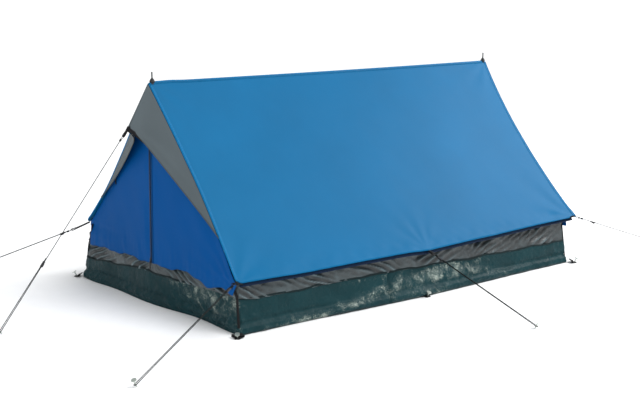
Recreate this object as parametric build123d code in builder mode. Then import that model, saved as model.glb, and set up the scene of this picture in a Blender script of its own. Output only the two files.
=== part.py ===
"""Two-person ridge tent, pitched: a single-skin roof over two upright poles, a bathtub groundsheet,
a ventilation strip of mesh all round, a zipped door under a small awning, and five guy lines.

The origin is the middle of the groundsheet's underside. +Z is up and the door faces -Y.
"""
import os
from math import cos, pi, radians, sin

from build123d import *

# Driving dimensions, millimetres
FLOOR_LENGTH = 2000
FLOOR_WIDTH = 1200
RIDGE_HEIGHT = 950
TUB_HEIGHT = 145
EAVE_HEIGHT = 234  # lower edge of the roof at its corners
WALL_TOP = 293  # where the side walls meet the roof
SILL_HEIGHT = 185  # lower edge of the door and of the rear wall
ROOF_END = 1016  # half the length of the ridge, just past the poles
EAVE_HALF_WIDTH = 615
EAVE_DIP = 30  # how far the middle guy draws the eave down the slope
WALL_LEAN_SIDE = 0.137  # inward, per unit of height
WALL_LEAN_END = 0.035

CLOTH = 1.5
GROUNDSHEET = 2.0
SEAM_GAP = 0.5  # between the plain panels that are sewn together
HEM = 22  # width of the eave's hem
TAPE_REACH = 17  # down each slope, of the tape along the ridge

POLE_FOOT_Y = 980  # the poles stand inside the tub and lean out to the ends of the ridge
POLE_HEAD_Y = 1000
POLE_R = 8.0
POLE_WALL = 1.0
POLE_PLUG = 60  # length of each swaged spigot
POLE_JOINTS = (330, 640)
POLE_TOP = 933
FOOT_BOTTOM = 2.4
SPIKE_R = 3.0
SPIKE_TOP = 990
RIDGE_HOLE_R = 9.2

END_PLANE = 1012  # inner face of the door and of the rear wall
HINGE_TOP = (6, 850)  # x and z of the upper end of each door leaf's seam
HINGE_FOOT = (520, SILL_HEIGHT)
LEAF_GAP = 1.2  # on each side of that seam
ZIP_GAP = 0.8  # on each side of the tent's middle
ZIP_TOP = 812
ZIP_TAPE_WIDTH = 13
ZIP_TAPE = 1.2

TOGGLE = (310, 500)  # x and height of the toggles for rolled-back leaves

AWNING_TIP = (0, -1122, 758)
AWNING_BEND = (120, -1048, 640)  # on the hollow lower edge, between its two facets
AWNING_FOOT = (474, 399)  # x and z where its lower edge meets the roof's front edge

ROPE_R = 1.5
BIGHT_HALF_WIDTH = 5.5  # half the distance between the two runs at the peg
BIGHT_REACH = 6.5  # how far the rope passes behind the peg's axis
BIGHT_RADIUS = 5.2
RUN_HALF_PITCH = 2.75  # half the distance between the two runs in a line slider
ROPE_HEIGHT = 11  # of the rope's axis where it rounds a peg
TAB_LENGTH = 26
RING_R = 6.0
RING_WIRE_R = 1.2
SLIDER_LENGTH = 26
SLIDER_WIDTH = 13
SLIDER_THICKNESS = 6
SLIDER_TRAVEL = 60
ROPE_TAIL = 16  # beyond the slider, on the tent's side
PEG_R = 2.5
PEG_LEAN = 28  # degrees, away from the tent
PEG_SHOWN = 30  # length of shank above the ground
PEG_HEAD_R = 10.0
LOOP_LENGTH = 46
LOOP_WIDTH = 44
LOOP_THICKNESS = 2.0
LOOP_HOLE_R = 6.0

# Guy lines: where each leaves the tent, its peg on the ground, and how far down it its slider sits
EAVE_CORNER = (EAVE_HALF_WIDTH + 2, ROOF_END + 2, EAVE_HEIGHT - 2)
EAVE_MIDDLE = (638, 0, 208)
GUYS = {
    "awning": ((0, -1124, 756), (0, -1710), 643),
    "front_left": ((-EAVE_CORNER[0], -EAVE_CORNER[1], EAVE_CORNER[2]), (-860, -1630), 74),
    "front_right": ((EAVE_CORNER[0], -EAVE_CORNER[1], EAVE_CORNER[2]), (860, -1630), 74),
    "side_right": (EAVE_MIDDLE, (1250, 0), 76),
    "rear_right": (EAVE_CORNER, (860, 1630), 112),
}
# Each guy: down from its ring, round its peg, and back up through its slider to the knotted end
ROPE_ROUTES = {
    "awning": [(-2.6, -1149.8, 723.6), (5.5, -1719.9, 5.9), (-5.5, -1719.9, 5.9), (-2.8, -1505.9, 275.2)],
    "front_left": [
        (-629.1, -1055.5, 218.9),
        (-859.3, -1643.2, 8.9),
        (-869.5, -1639.1, 8.9),
        (-635.3, -1056.7, 217.8),
    ],
    "front_right": [
        (633.9, -1053.5, 218.9),
        (869.5, -1639.1, 8.9),
        (859.3, -1643.2, 8.9),
        (630.2, -1058.7, 217.8),
    ],
    "side_right": [(677.4, 2.6, 195.4), (1262.0, 5.5, 9.0), (1262.0, -5.5, 9.0), (682.8, -2.8, 193.7)],
    "rear_right": [
        (629.2, 1055.4, 218.9),
        (859.3, 1643.2, 8.9),
        (869.5, 1639.1, 8.9),
        (648.6, 1090.2, 205.8),
    ],
}
# Eave points that have a webbing tab and ring but no guy line
SPARE_TABS = {
    "rear_left": ((-EAVE_CORNER[0], EAVE_CORNER[1], EAVE_CORNER[2]), (-860, 1630)),
    "side_left": ((-EAVE_MIDDLE[0], 0, EAVE_MIDDLE[2]), (-1250, 0)),
}
# Ground loops: where each leaves the groundsheet's edge, and the way it points
HALF_W, HALF_L = FLOOR_WIDTH / 2, FLOOR_LENGTH / 2
GROUND_LOOPS = [
    ((HALF_W, -HALF_L), (1, -1)),
    ((-HALF_W, -HALF_L), (-1, -1)),
    ((HALF_W, HALF_L), (1, 1)),
    ((-HALF_W, HALF_L), (-1, 1)),
    ((HALF_W, 0), (1, 0)),
    ((-HALF_W, 0), (-1, 0)),
]

os.makedirs("parts", exist_ok=True)


def save(name, made):
    """Label a finished piece and write it under its node's name."""
    made.part.label = name
    export_step(made.part, f"parts/{name}.step")


def flat_panel(corners, thickness, outward=False):
    """Thicken the flat outline given by its corners, towards the tent's inside, within the current part."""
    first, second, last = (Vector(*corners[i]) for i in (0, 1, -1))
    inward = (second - first).cross(last - first)
    if inward.dot(Vector(0, 0, RIDGE_HEIGHT / 2) - first) < 0:
        inward = -inward
    plane = Plane(first, x_dir=second - first, z_dir=inward)
    flat = [plane.to_local_coords(Vector(*p)) for p in corners]
    with BuildSketch(plane) as outline:
        with BuildLine():
            Polyline(*[(p.X, p.Y) for p in flat], close=True)
        make_face()
    extrude(outline.sketch, amount=-thickness if outward else thickness)


def panels(name, outlines, thickness=CLOTH, outward=False):
    """One node made of one or more flat panels."""
    with BuildPart() as made:
        for corners in outlines:
            flat_panel(corners, thickness, outward)
    save(name, made)


def mirrored(points, side):
    """The outline for the right side (side = 1) or its mirror image for the left (side = -1)."""
    return [(side * x, y, z) for x, y, z in points]


def wall_x(height):
    return HALF_W - WALL_LEAN_SIDE * height


def wall_y(height):
    return HALF_L - WALL_LEAN_END * height


def roof_x(height):
    """Half the width of the roof's outer face at a height."""
    return EAVE_HALF_WIDTH * (RIDGE_HEIGHT - height) / (RIDGE_HEIGHT - EAVE_HEIGHT)


def guy_line(name):
    """A guy's start, its direction, the level direction across it, and the point where it rounds its peg."""
    start, peg = (GUYS[name][:2] if name in GUYS else SPARE_TABS[name])
    start = Vector(*start)
    away = (Vector(*peg) - Vector(start.X, start.Y)).normalized()
    lean = away * (ROPE_HEIGHT * sin(radians(PEG_LEAN)) / cos(radians(PEG_LEAN)))
    bight = Vector(*peg) + lean + Vector(0, 0, ROPE_HEIGHT)
    along = (bight - start).normalized()
    across = Vector(-away.Y, away.X, 0)
    return start, along, across, bight


def groundsheet():
    with BuildPart() as sheet:
        with BuildSketch():
            Rectangle(FLOOR_WIDTH, FLOOR_LENGTH)
        extrude(amount=GROUNDSHEET)
    save("groundsheet", sheet)

    low, high = GROUNDSHEET + 0.5, TUB_HEIGHT
    for side, word in ((1, "right"), (-1, "left")):
        wall = [
            (wall_x(low), wall_y(low), low),
            (wall_x(high), wall_y(high), high),
            (wall_x(high), -wall_y(high), high),
            (wall_x(low), -wall_y(low), low),
        ]
        panels(f"tub_wall_{word}", [mirrored(wall, side)])
    inset = CLOTH + 1.0
    for end, word in ((-1, "front"), (1, "rear")):
        wall = [
            (-wall_x(low) + inset, end * wall_y(low), low),
            (-wall_x(high) + inset, end * wall_y(high), high),
            (wall_x(high) - inset, end * wall_y(high), high),
            (wall_x(low) - inset, end * wall_y(low), low),
        ]
        panels(f"tub_wall_{word}", [wall])


def mesh_strips():
    low = TUB_HEIGHT + SEAM_GAP
    for side, word in ((1, "right"), (-1, "left")):
        strip = [
            (wall_x(low), wall_y(low), low),
            (wall_x(WALL_TOP), wall_y(WALL_TOP), WALL_TOP),
            (wall_x(WALL_TOP), -wall_y(WALL_TOP), WALL_TOP),
            (wall_x(low), -wall_y(low), low),
        ]
        panels(f"mesh_strip_{word}", [mirrored(strip, side)])
    inset = CLOTH + 1.0
    high = SILL_HEIGHT - 1.5
    for end, word in ((-1, "front"), (1, "rear")):
        strip = [
            (-wall_x(low) + inset, end * wall_y(low), low),
            (-wall_x(high) + inset, end * (END_PLANE - 3), high),
            (wall_x(high) - inset, end * (END_PLANE - 3), high),
            (wall_x(low) - inset, end * wall_y(low), low),
        ]
        panels(f"mesh_strip_{word}", [strip])


def roof():
    ridge_x = 2.5
    ridge_z = RIDGE_HEIGHT - ridge_x * (RIDGE_HEIGHT - EAVE_HEIGHT) / EAVE_HALF_WIDTH
    fall = Vector(EAVE_HALF_WIDTH, 0, EAVE_HEIGHT - RIDGE_HEIGHT).normalized()
    eave = Vector(EAVE_HALF_WIDTH, 0, EAVE_HEIGHT)
    dip = eave + fall * EAVE_DIP
    inward = Vector(fall.Z, 0, -fall.X) * (CLOTH + 0.3)
    for side, word in ((1, "right"), (-1, "left")):
        slope = [
            (ridge_x, -ROOF_END, ridge_z),
            (ridge_x, ROOF_END, ridge_z),
            (eave.X, ROOF_END, eave.Z),
            (dip.X, 0, dip.Z),
            (eave.X, -ROOF_END, eave.Z),
        ]
        with BuildPart() as cloth:
            flat_panel(mirrored(slope, side), CLOTH)
            with Locations((0, -POLE_HEAD_Y, RIDGE_HEIGHT), (0, POLE_HEAD_Y, RIDGE_HEIGHT)):
                Cylinder(RIDGE_HOLE_R, 60, mode=Mode.SUBTRACT)
        save(f"roof_{word}", cloth)
        strips = []
        for end in (-1, 1):
            corner = eave + inward
            middle = dip + inward
            strip = [
                (corner.X, end * ROOF_END, corner.Z),
                (middle.X, end * 0.5, middle.Z),
                (middle.X - HEM * fall.X, end * 0.5, middle.Z - HEM * fall.Z),
                (corner.X - HEM * fall.X, end * ROOF_END, corner.Z - HEM * fall.Z),
            ]
            strips.append(mirrored(strip, side))
        panels(f"eave_hem_{word}", strips, thickness=1.0)

    with BuildPart() as tape:
        outward = Vector(-fall.Z, 0, fall.X) * 1.0
        top = Vector(0.2, 0, RIDGE_HEIGHT) + outward
        low = top + fall * TAPE_REACH
        for side in (1, -1):
            cover = [
                (top.X, -ROOF_END, top.Z),
                (top.X, ROOF_END, top.Z),
                (low.X, ROOF_END, low.Z),
                (low.X, -ROOF_END, low.Z),
            ]
            flat_panel(mirrored(cover, side), 0.8)
        with Locations((0, -POLE_HEAD_Y, RIDGE_HEIGHT), (0, POLE_HEAD_Y, RIDGE_HEIGHT)):
            Cylinder(RIDGE_HOLE_R, 60, mode=Mode.SUBTRACT)
    save("ridge_tape", tape)


def end_outline(top):
    """Half of the flat end wall: x and z from the apex down the roof's underside to the sill."""
    return [(1, top), (8, top), (roof_x(300) - 6, 300), (wall_x(SILL_HEIGHT) - 3, SILL_HEIGHT)]


def end_walls():
    apex = 934
    outline = end_outline(apex)
    for side, word in ((1, "right"), (-1, "left")):
        seam_foot = (HINGE_FOOT[0] + LEAF_GAP, SILL_HEIGHT)
        seam_top = (HINGE_TOP[0] + LEAF_GAP, HINGE_TOP[1])
        edge = outline + [seam_foot, seam_top, (1, HINGE_TOP[1])]
        front = [(x, -END_PLANE, z) for x, z in edge]
        panels(f"front_panel_{word}", [mirrored(front, side)], outward=True)
    half = [(x, END_PLANE, z) for x, z in outline[1:]]
    panels("rear_wall", [half + mirrored(half[::-1], -1)], outward=True)


def door():
    zip_face = END_PLANE + CLOTH + ZIP_TAPE + 0.1
    for side, word in ((1, "right"), (-1, "left")):
        leaf = [
            (ZIP_GAP, HINGE_TOP[1] - 8),
            (HINGE_TOP[0] - LEAF_GAP + 5, HINGE_TOP[1] - 8),
            (HINGE_FOOT[0] - LEAF_GAP, SILL_HEIGHT),
            (ZIP_GAP, SILL_HEIGHT),
        ]
        corners = [(x, -END_PLANE, z) for x, z in leaf]
        panels(f"door_leaf_{word}", [mirrored(corners, side)], outward=True)
        tape = [
            (ZIP_GAP, -zip_face, SILL_HEIGHT),
            (ZIP_GAP, -zip_face, ZIP_TOP),
            (ZIP_GAP + ZIP_TAPE_WIDTH, -zip_face, ZIP_TOP),
            (ZIP_GAP + ZIP_TAPE_WIDTH, -zip_face, SILL_HEIGHT),
        ]
        panels(f"zip_tape_{word}", [mirrored(tape, side)], thickness=ZIP_TAPE)

    slider_front = -zip_face - 0.4
    with BuildPart() as slider:
        with BuildSketch(Plane.XY.offset(SILL_HEIGHT + 2)):
            with Locations((-5.4, slider_front - 2)):
                RectangleRounded(8.4, 4, 1.2)
        extrude(amount=16)
    save("zip_slider", slider)
    with BuildPart() as pull:
        with BuildSketch(Plane.XZ.offset(-slider_front + 4.3)):
            with Locations((-5.4, SILL_HEIGHT - 12)):
                SlotOverall(34, 7, rotation=90)
            with Locations((-5.4, SILL_HEIGHT - 23)):
                Circle(1.8, mode=Mode.SUBTRACT)
        extrude(amount=1.6)
    save("zip_pull", pull)


def awning():
    """Each half has two flat facets: the peak that the guy draws forward, and the rest along the roof's edge."""
    tip_x, tip_y, tip_z = AWNING_TIP
    bend_x, bend_y, bend_z = AWNING_BEND
    seam_y = -ROOF_END - 2
    seam_z = RIDGE_HEIGHT - 4
    middle_gap = 1.6
    for side, word in ((1, "right"), (-1, "left")):
        peak = [
            (middle_gap, seam_y, seam_z),
            (middle_gap, tip_y, tip_z),
            (bend_x - SEAM_GAP, bend_y, bend_z + SEAM_GAP),
        ]
        wing = [
            (middle_gap + 2.0, seam_y, seam_z - 2.4),
            (bend_x + 2 * SEAM_GAP, bend_y, bend_z - 2 * SEAM_GAP),
            (AWNING_FOOT[0], seam_y, AWNING_FOOT[1]),
        ]
        panels(f"awning_{word}", [mirrored(peak, side), mirrored(wing, side)])
    with BuildPart() as band:
        with BuildSketch(Plane.XY.offset(tip_z - 27)):
            with Locations((tip_x, tip_y + 6)):
                RectangleRounded(16, 3, 1.2)
        extrude(amount=16)
    save("awning_tip_band", band)


def pole(end, word):
    """One upright pole: three plug-in tubes, a plastic foot, a spike at the top and a cap that grips it."""
    foot_point = Vector(0, end * POLE_FOOT_Y, 0)
    plane = Plane(foot_point, x_dir=(1, 0, 0), z_dir=Vector(0, end * POLE_HEAD_Y, SPIKE_TOP) - foot_point)
    sections = zip(("lower", "middle", "upper"), (FOOT_BOTTOM + 3, *POLE_JOINTS), (*POLE_JOINTS, POLE_TOP))
    for section, low, high in sections:
        plugged = section != "lower"
        with BuildPart() as tube:
            with BuildSketch(plane.offset(low + 0.2)):
                Circle(POLE_R)
                Circle(POLE_R - POLE_WALL, mode=Mode.SUBTRACT)
            extrude(amount=high - low - 0.4)
            if plugged:
                with BuildSketch(plane.offset(low - POLE_PLUG)):
                    Circle(POLE_R - POLE_WALL - 0.1)
                    Circle(POLE_R - 2.2 * POLE_WALL, mode=Mode.SUBTRACT)
                extrude(amount=POLE_PLUG + 6)
                with BuildSketch(plane.offset(low + 2)):
                    Circle(POLE_R - POLE_WALL)
                    Circle(POLE_R - 2.2 * POLE_WALL, mode=Mode.SUBTRACT)
                extrude(amount=4)
        save(f"pole_{word}_{section}", tube)

    with BuildPart() as foot:
        with BuildSketch(plane.offset(FOOT_BOTTOM)):
            Circle(POLE_R + 3)
        extrude(amount=22)
        with BuildSketch(plane.offset(FOOT_BOTTOM + 3)):
            Circle(POLE_R + 0.05)
        extrude(amount=30, mode=Mode.SUBTRACT)
        fillet(foot.edges().group_by(Axis.Z)[-1], 0.8)
    save(f"pole_{word}_foot", foot)

    with BuildPart() as spike:
        with BuildSketch(plane.offset(POLE_TOP - 30)):
            Circle(POLE_R - POLE_WALL - 0.1)
        extrude(amount=30)
        with BuildSketch(plane.offset(POLE_TOP)):
            Circle(POLE_R)
        extrude(amount=3)
        with BuildSketch(plane.offset(POLE_TOP + 3)):
            Circle(SPIKE_R)
        extrude(amount=SPIKE_TOP - POLE_TOP - 3)
        chamfer(spike.edges().group_by(Axis.Z)[-1], 1.0)
    save(f"pole_{word}_spike", spike)

    with BuildPart() as eyelet:
        with BuildSketch(plane.offset(POLE_TOP + 3.4)):
            Circle(POLE_R)
            Circle(SPIKE_R + 0.3, mode=Mode.SUBTRACT)
        extrude(amount=RIDGE_HEIGHT - POLE_TOP - 1)
    save(f"ridge_eyelet_{word}", eyelet)

    with BuildPart() as cap:
        with BuildSketch(plane.offset(RIDGE_HEIGHT + 3.2)):
            Circle(POLE_R + 2)
        extrude(amount=9, taper=22)
        with BuildSketch(plane.offset(RIDGE_HEIGHT)):
            Circle(SPIKE_R + 0.05)
        extrude(amount=16, mode=Mode.SUBTRACT)
    save(f"ridge_cap_{word}", cap)


def tabs_and_rings():
    """A webbing tab and a ring at the awning's tip, at the four eave corners and halfway along each eave."""
    with BuildPart() as tabs:
        for name in (*GUYS, *SPARE_TABS):
            start, along, across, _ = guy_line(name)
            with BuildSketch(Plane(start, x_dir=across, z_dir=along)):
                Rectangle(13, 2.4)
            extrude(amount=TAB_LENGTH)
    save("guy_tabs", tabs)
    with BuildPart() as rings:
        for name in (*GUYS, *SPARE_TABS):
            start, along, across, _ = guy_line(name)
            centre = start + along * (TAB_LENGTH + RING_R + RING_WIRE_R + 0.3)
            normal = along.cross(across)
            with BuildSketch(Plane(centre, x_dir=along, z_dir=along.cross(normal))):
                with Locations((RING_R, 0)):
                    Circle(RING_WIRE_R)
            revolve(axis=Axis(centre, normal))
    save("guy_rings", rings)


def rope_spread(name):
    """How fast each run moves away from the middle line as it nears the peg."""
    start, _, _, bight = guy_line(name)
    return (BIGHT_HALF_WIDTH - RUN_HALF_PITCH) / ((bight - start).length - GUYS[name][2])


def guy_ropes():
    for name, route in ROPE_ROUTES.items():
        with BuildPart() as rope:
            with BuildLine() as path:
                FilletPolyline(*route, radius=BIGHT_RADIUS)
            with BuildSketch(Plane(route[0], z_dir=Vector(*route[1]) - Vector(*route[0]))):
                Circle(ROPE_R)
            sweep()
        save(f"guy_rope_{name}", rope)
        length = sum(edge.length for edge in path.edges())
        share = rope.part.volume / (pi * ROPE_R**2 * length)
        print(f"guy_rope_{name}: {length:.0f} mm, bend radius {BIGHT_RADIUS}, volume / expected {share:.4f}")


def line_sliders():
    """A tensioner on each guy, with one bore for each run of the rope and a cleat along its back."""
    for name in GUYS:
        start, along, across, _ = guy_line(name)
        middle = start + along * GUYS[name][2]
        plane = Plane(middle - along * (SLIDER_LENGTH / 2), x_dir=across, z_dir=along)
        with BuildPart() as slider:
            with BuildSketch(plane):
                RectangleRounded(SLIDER_WIDTH, SLIDER_THICKNESS, 2.4)
            extrude(amount=SLIDER_LENGTH)
            with BuildSketch(plane.offset(SLIDER_LENGTH * 0.35)):
                with Locations((0, -SLIDER_THICKNESS / 2 - 1.5)):
                    Rectangle(4, 4.4)
            extrude(amount=SLIDER_LENGTH * 0.55)
            with BuildSketch(plane):
                bore_x = RUN_HALF_PITCH + rope_spread(name) * SLIDER_TRAVEL / 2
                with Locations((-bore_x, 0), (bore_x, 0)):
                    Circle(ROPE_R + 0.7)
            extrude(amount=SLIDER_LENGTH, mode=Mode.SUBTRACT)
        save(f"line_slider_{name}", slider)


def peg(foot, away, height=PEG_SHOWN):
    """A round-headed nail peg from the ground up, leaning the way it is driven, inside the current part."""
    lean = radians(PEG_LEAN)
    axis = Vector(away[0], away[1]).normalized() * sin(lean) + Vector(0, 0, cos(lean))
    base = Vector(*foot) + axis * (PEG_R * sin(lean) / cos(lean) + 0.3)
    side = axis.cross(Vector(0, 0, 1))
    with BuildSketch(Plane(base, x_dir=side, z_dir=axis)) as shank:
        Circle(PEG_R)
    extrude(shank.sketch, amount=height)
    with BuildSketch(Plane(base + axis * height, x_dir=side, z_dir=axis)) as head:
        Circle(PEG_HEAD_R)
    extrude(head.sketch, amount=2.2)


def loop_outline(at_corner):
    """A ground loop, narrowing outwards. At a corner of the groundsheet its root is notched to clear it."""
    root = LOOP_WIDTH / 2 - 2 if at_corner else 0
    outline = [(root, -LOOP_WIDTH / 2), (LOOP_LENGTH, -8), (LOOP_LENGTH, 8), (root, LOOP_WIDTH / 2)]
    return outline + [(0, 0)] if at_corner else outline


def pegs_and_loops():
    with BuildPart() as guy_pegs:
        for name, (start, foot, _) in GUYS.items():
            peg(foot, (foot[0] - start[0], foot[1] - start[1]))
    save("guy_pegs", guy_pegs)

    hole_at = LOOP_LENGTH - LOOP_HOLE_R - 6
    with BuildPart() as loops:
        for root, out in GROUND_LOOPS:
            away = Vector(*out).normalized()
            base = Vector(*root) + away * 2.0
            with BuildSketch(Plane(base + Vector(0, 0, 0.2), x_dir=away, z_dir=(0, 0, 1))):
                with BuildLine():
                    Polyline(*loop_outline(at_corner=0 not in out), close=True)
                make_face()
                with Locations((hole_at, 0)):
                    Circle(LOOP_HOLE_R, mode=Mode.SUBTRACT)
            extrude(amount=LOOP_THICKNESS)
    save("ground_loops", loops)

    with BuildPart() as ground_pegs:
        for root, out in GROUND_LOOPS:
            away = Vector(*out).normalized()
            foot = Vector(*root) + away * (2.0 + hole_at)
            peg((foot.X, foot.Y), out, height=PEG_SHOWN - 8)
    save("ground_pegs", ground_pegs)


def toggles():
    """The toggle and loop on each side that hold a rolled-back door leaf."""
    x, height = TOGGLE
    front = -END_PLANE - CLOTH
    with BuildPart() as loops:
        for side in (1, -1):
            with BuildSketch(Plane.XY.offset(height - 30)):
                with Locations((side * x, front - 0.9)):
                    Rectangle(8, 1.2)
            extrude(amount=60)
    save("toggle_loops", loops)
    with BuildPart() as bars:
        for side in (1, -1):
            with BuildSketch(Plane.YZ.offset(side * x - 14)):
                with Locations((front - 5.2, height)):
                    Circle(3.2)
            extrude(amount=28)
    save("door_toggles", bars)


groundsheet()
mesh_strips()
roof()
end_walls()
door()
awning()
pole(-1, "front")
pole(1, "rear")
tabs_and_rings()
guy_ropes()
line_sliders()
pegs_and_loops()
toggles()
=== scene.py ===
"""The pitched two-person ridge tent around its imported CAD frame. Metres; +Z up, the door faces -Y."""

import bpy
import numpy as np
from mathutils import Matrix, Vector


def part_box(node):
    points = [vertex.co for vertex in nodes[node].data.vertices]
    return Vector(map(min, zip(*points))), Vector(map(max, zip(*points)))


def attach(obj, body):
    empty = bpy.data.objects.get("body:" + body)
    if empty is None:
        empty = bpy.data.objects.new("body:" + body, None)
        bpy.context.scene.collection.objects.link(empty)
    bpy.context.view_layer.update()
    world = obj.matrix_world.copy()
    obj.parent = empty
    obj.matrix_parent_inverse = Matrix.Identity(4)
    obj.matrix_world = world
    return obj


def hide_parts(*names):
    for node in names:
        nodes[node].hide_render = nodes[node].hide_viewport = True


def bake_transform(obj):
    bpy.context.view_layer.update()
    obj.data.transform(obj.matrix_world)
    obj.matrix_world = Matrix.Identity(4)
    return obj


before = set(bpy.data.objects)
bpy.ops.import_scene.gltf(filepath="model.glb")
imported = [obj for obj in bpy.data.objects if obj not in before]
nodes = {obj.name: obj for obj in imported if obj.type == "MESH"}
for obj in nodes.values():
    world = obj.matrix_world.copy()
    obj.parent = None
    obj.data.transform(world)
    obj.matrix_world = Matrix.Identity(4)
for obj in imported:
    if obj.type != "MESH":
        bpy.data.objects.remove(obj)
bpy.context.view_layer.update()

PI = np.pi
TENT = "tent"  # the body that everything fixed rides on

# Sizes that follow the CAD model
HALF_W, HALF_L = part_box("groundsheet")[1].x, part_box("groundsheet")[1].y
TUB_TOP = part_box("tub_wall_right")[1].z
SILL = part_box("door_leaf_right")[0].z
END_PLANE = -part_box("door_leaf_right")[1].y  # inner face of the door
DOOR_FACE = END_PLANE + 0.0012
RIDGE = 0.950
RIDGE_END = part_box("roof_right")[1].y
EAVE_CORNER = Vector((0.617, 1.019, 0.232))
EAVE_MIDDLE = Vector((0.640, 0.0, 0.209))
WALL_LEAN_SIDE, WALL_LEAN_END = 0.137, 0.035
END_TOP = 0.936  # height of the top of each end wall
UP = Vector((0, 0, 1))
SIDES = ((1.0, "right"), (-1.0, "left"))


# ------------------------------------------------------------------ helpers
def smooth(low, high, x):
    """0 at low and beyond, 1 at high and beyond, and a smooth step between."""
    t = np.clip((x - low) / (high - low), 0, 1)
    return t * t * (3 - 2 * t)


def bump(centre, width, x):
    """A smooth hump of height 1."""
    return np.exp(-(((x - centre) / width) ** 2))


def ripples(x, y, seed, longest=0.3, shortest=0.05, waves=6):
    """Soft folds: sines of several lengths and directions, between about -1 and 1."""
    rng = np.random.default_rng(seed)
    total = np.zeros(np.broadcast(x, y).shape)
    for i in range(waves):
        length = longest * (shortest / longest) ** (i / (waves - 1))
        turn = rng.uniform(-PI, PI) / 2
        phase = rng.uniform(0, 2 * PI)
        total = total + length * np.sin(2 * PI * (x * np.cos(turn) + y * np.sin(turn)) / length + phase)
    return total / longest / 1.8


def creases(x, y, seed, waves=7, longest=0.25, shortest=0.03, direction=0.0, spread=PI):
    """Sharp folds, as in stiff coated sheet: ridged sines on bent coordinates, between 0 and 1."""
    rng = np.random.default_rng(seed)
    bend = 0.25 * longest
    total = np.zeros(np.broadcast(x, y).shape)
    weights = 0.0
    for i in range(waves):
        length = longest * (shortest / longest) ** (i / (waves - 1))
        turn = direction + rng.uniform(-spread, spread) / 2
        phase = rng.uniform(0, 2 * PI, 3)
        bx = x + bend * np.sin(2 * PI * y / (1.7 * longest) + phase[0])
        by = y + bend * np.sin(2 * PI * x / (1.3 * longest) + phase[1])
        wave = 1 - np.abs(np.sin(PI * (bx * np.cos(turn) + by * np.sin(turn)) / length + phase[2]))
        total = total + length * wave**1.6
        weights += length
    return total / weights


def new_object(name, data, material, body=TENT):
    """An object of one material that rides on one body of the frame."""
    data.materials.append(material)
    piece = bpy.data.objects.new(name, data)
    bpy.context.scene.collection.objects.link(piece)
    if body:
        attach(piece, body)
    return piece


def mesh_from(name, points, faces):
    mesh = bpy.data.meshes.new(name)
    mesh.from_pydata([tuple(p) for p in points], [], [tuple(f) for f in faces])
    mesh.validate()
    mesh.update()
    mesh.shade_smooth()
    return mesh


def thicken(piece, thickness, offset=0.0):
    """Give a sheet its thickness, as real geometry."""
    solid = piece.modifiers.new("thickness", "SOLIDIFY")
    solid.thickness, solid.offset, solid.use_even_offset = thickness, offset, True
    depsgraph = bpy.context.evaluated_depsgraph_get()
    thick = bpy.data.meshes.new_from_object(piece.evaluated_get(depsgraph))
    flat = piece.data
    piece.modifiers.clear()
    piece.data = thick
    bpy.data.meshes.remove(flat)
    return piece


def set_uvs(mesh, along, up):
    """The UV map, in metres of cloth, from one value for each corner of each face."""
    layer = mesh.uv_layers.new(name="cloth")
    layer.data.foreach_set("uv", np.stack([along, up], -1).astype(np.float32).ravel())


def cloth(name, place, size, step, material, body=TENT, thickness=0.0008, offset=0.0):
    """A sheet made of a grid: place(u, v) gives its points for u along size[0] and v along size[1].

    u and v run from 0 to 1, and the UV map holds them in metres of cloth.
    """
    nu, nv = (max(2, round(s / step)) + 1 for s in size)
    u, v = np.meshgrid(np.linspace(0, 1, nu), np.linspace(0, 1, nv), indexing="ij")
    points = np.stack(place(u, v), axis=-1).reshape(-1, 3)
    index = np.arange(nu * nv).reshape(nu, nv)
    faces = np.stack([index[:-1, :-1], index[1:, :-1], index[1:, 1:], index[:-1, 1:]], -1).reshape(-1, 4)
    mesh = mesh_from(name, points, faces.tolist())
    if len(mesh.loops) == faces.size:
        corners = faces.ravel()
        set_uvs(mesh, (u * size[0]).ravel()[corners], (v * size[1]).ravel()[corners])
    piece = new_object(name, mesh, material, body)
    return thicken(piece, thickness, offset) if thickness else piece


def cord(name, route, radius, material):
    """A round cord along a NURBS route, as a curve."""
    curve = bpy.data.curves.new(name, "CURVE")
    curve.dimensions = "3D"
    curve.bevel_depth, curve.bevel_resolution = radius, 5
    curve.resolution_u = 12
    curve.use_fill_caps = True
    spline = curve.splines.new("NURBS")
    spline.points.add(len(route) - 1)
    for point, place in zip(spline.points, route):
        point.co = (*place, 1.0)
    spline.order_u = 3
    spline.use_endpoint_u = True
    return new_object(name, curve, material)


def skin(rings):
    """Vertices and faces of a closed skin over rings of points, capped at both ends."""
    count = len(rings[0])
    verts = [point for ring in rings for point in ring]
    faces = []
    for i in range(len(rings) - 1):
        here, there = i * count, (i + 1) * count
        for k in range(count):
            after = (k + 1) % count
            faces.append((here + k, here + after, there + after, there + k))
    faces.append(tuple(range(count))[::-1])
    faces.append(tuple(range(len(verts) - count, len(verts))))
    return verts, faces


def circle(centre, radius, first, second, sides):
    """Points round a centre, in the plane of two directions."""
    turns = [2 * PI * k / sides for k in range(sides)]
    return [centre + (first * np.cos(turn) + second * np.sin(turn)) * radius for turn in turns]


def tangents(line):
    last = len(line) - 1
    return [(line[min(i + 1, last)] - line[max(i - 1, 0)]).normalized() for i in range(len(line))]


def strap_ring(point, across, up, width, thickness, flank=0.47, edge=0.2):
    """A flat strap's section, with its corners taken off."""
    upper = ((-0.5, edge), (-flank, 0.5), (flank, 0.5), (0.5, edge))
    profile = upper + tuple((-a, -b) for a, b in upper)
    return [point + across * (a * width) + up * (b * thickness) for a, b in profile]


def swept(line, normal, width, thickness):
    """A flat strap along a line, lying across one direction."""
    rings = []
    for point, along in zip(line, tangents(line)):
        across = along.cross(normal).normalized()
        rings.append(strap_ring(point, across, across.cross(along).normalized(), width, thickness))
    return skin(rings)


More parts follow.
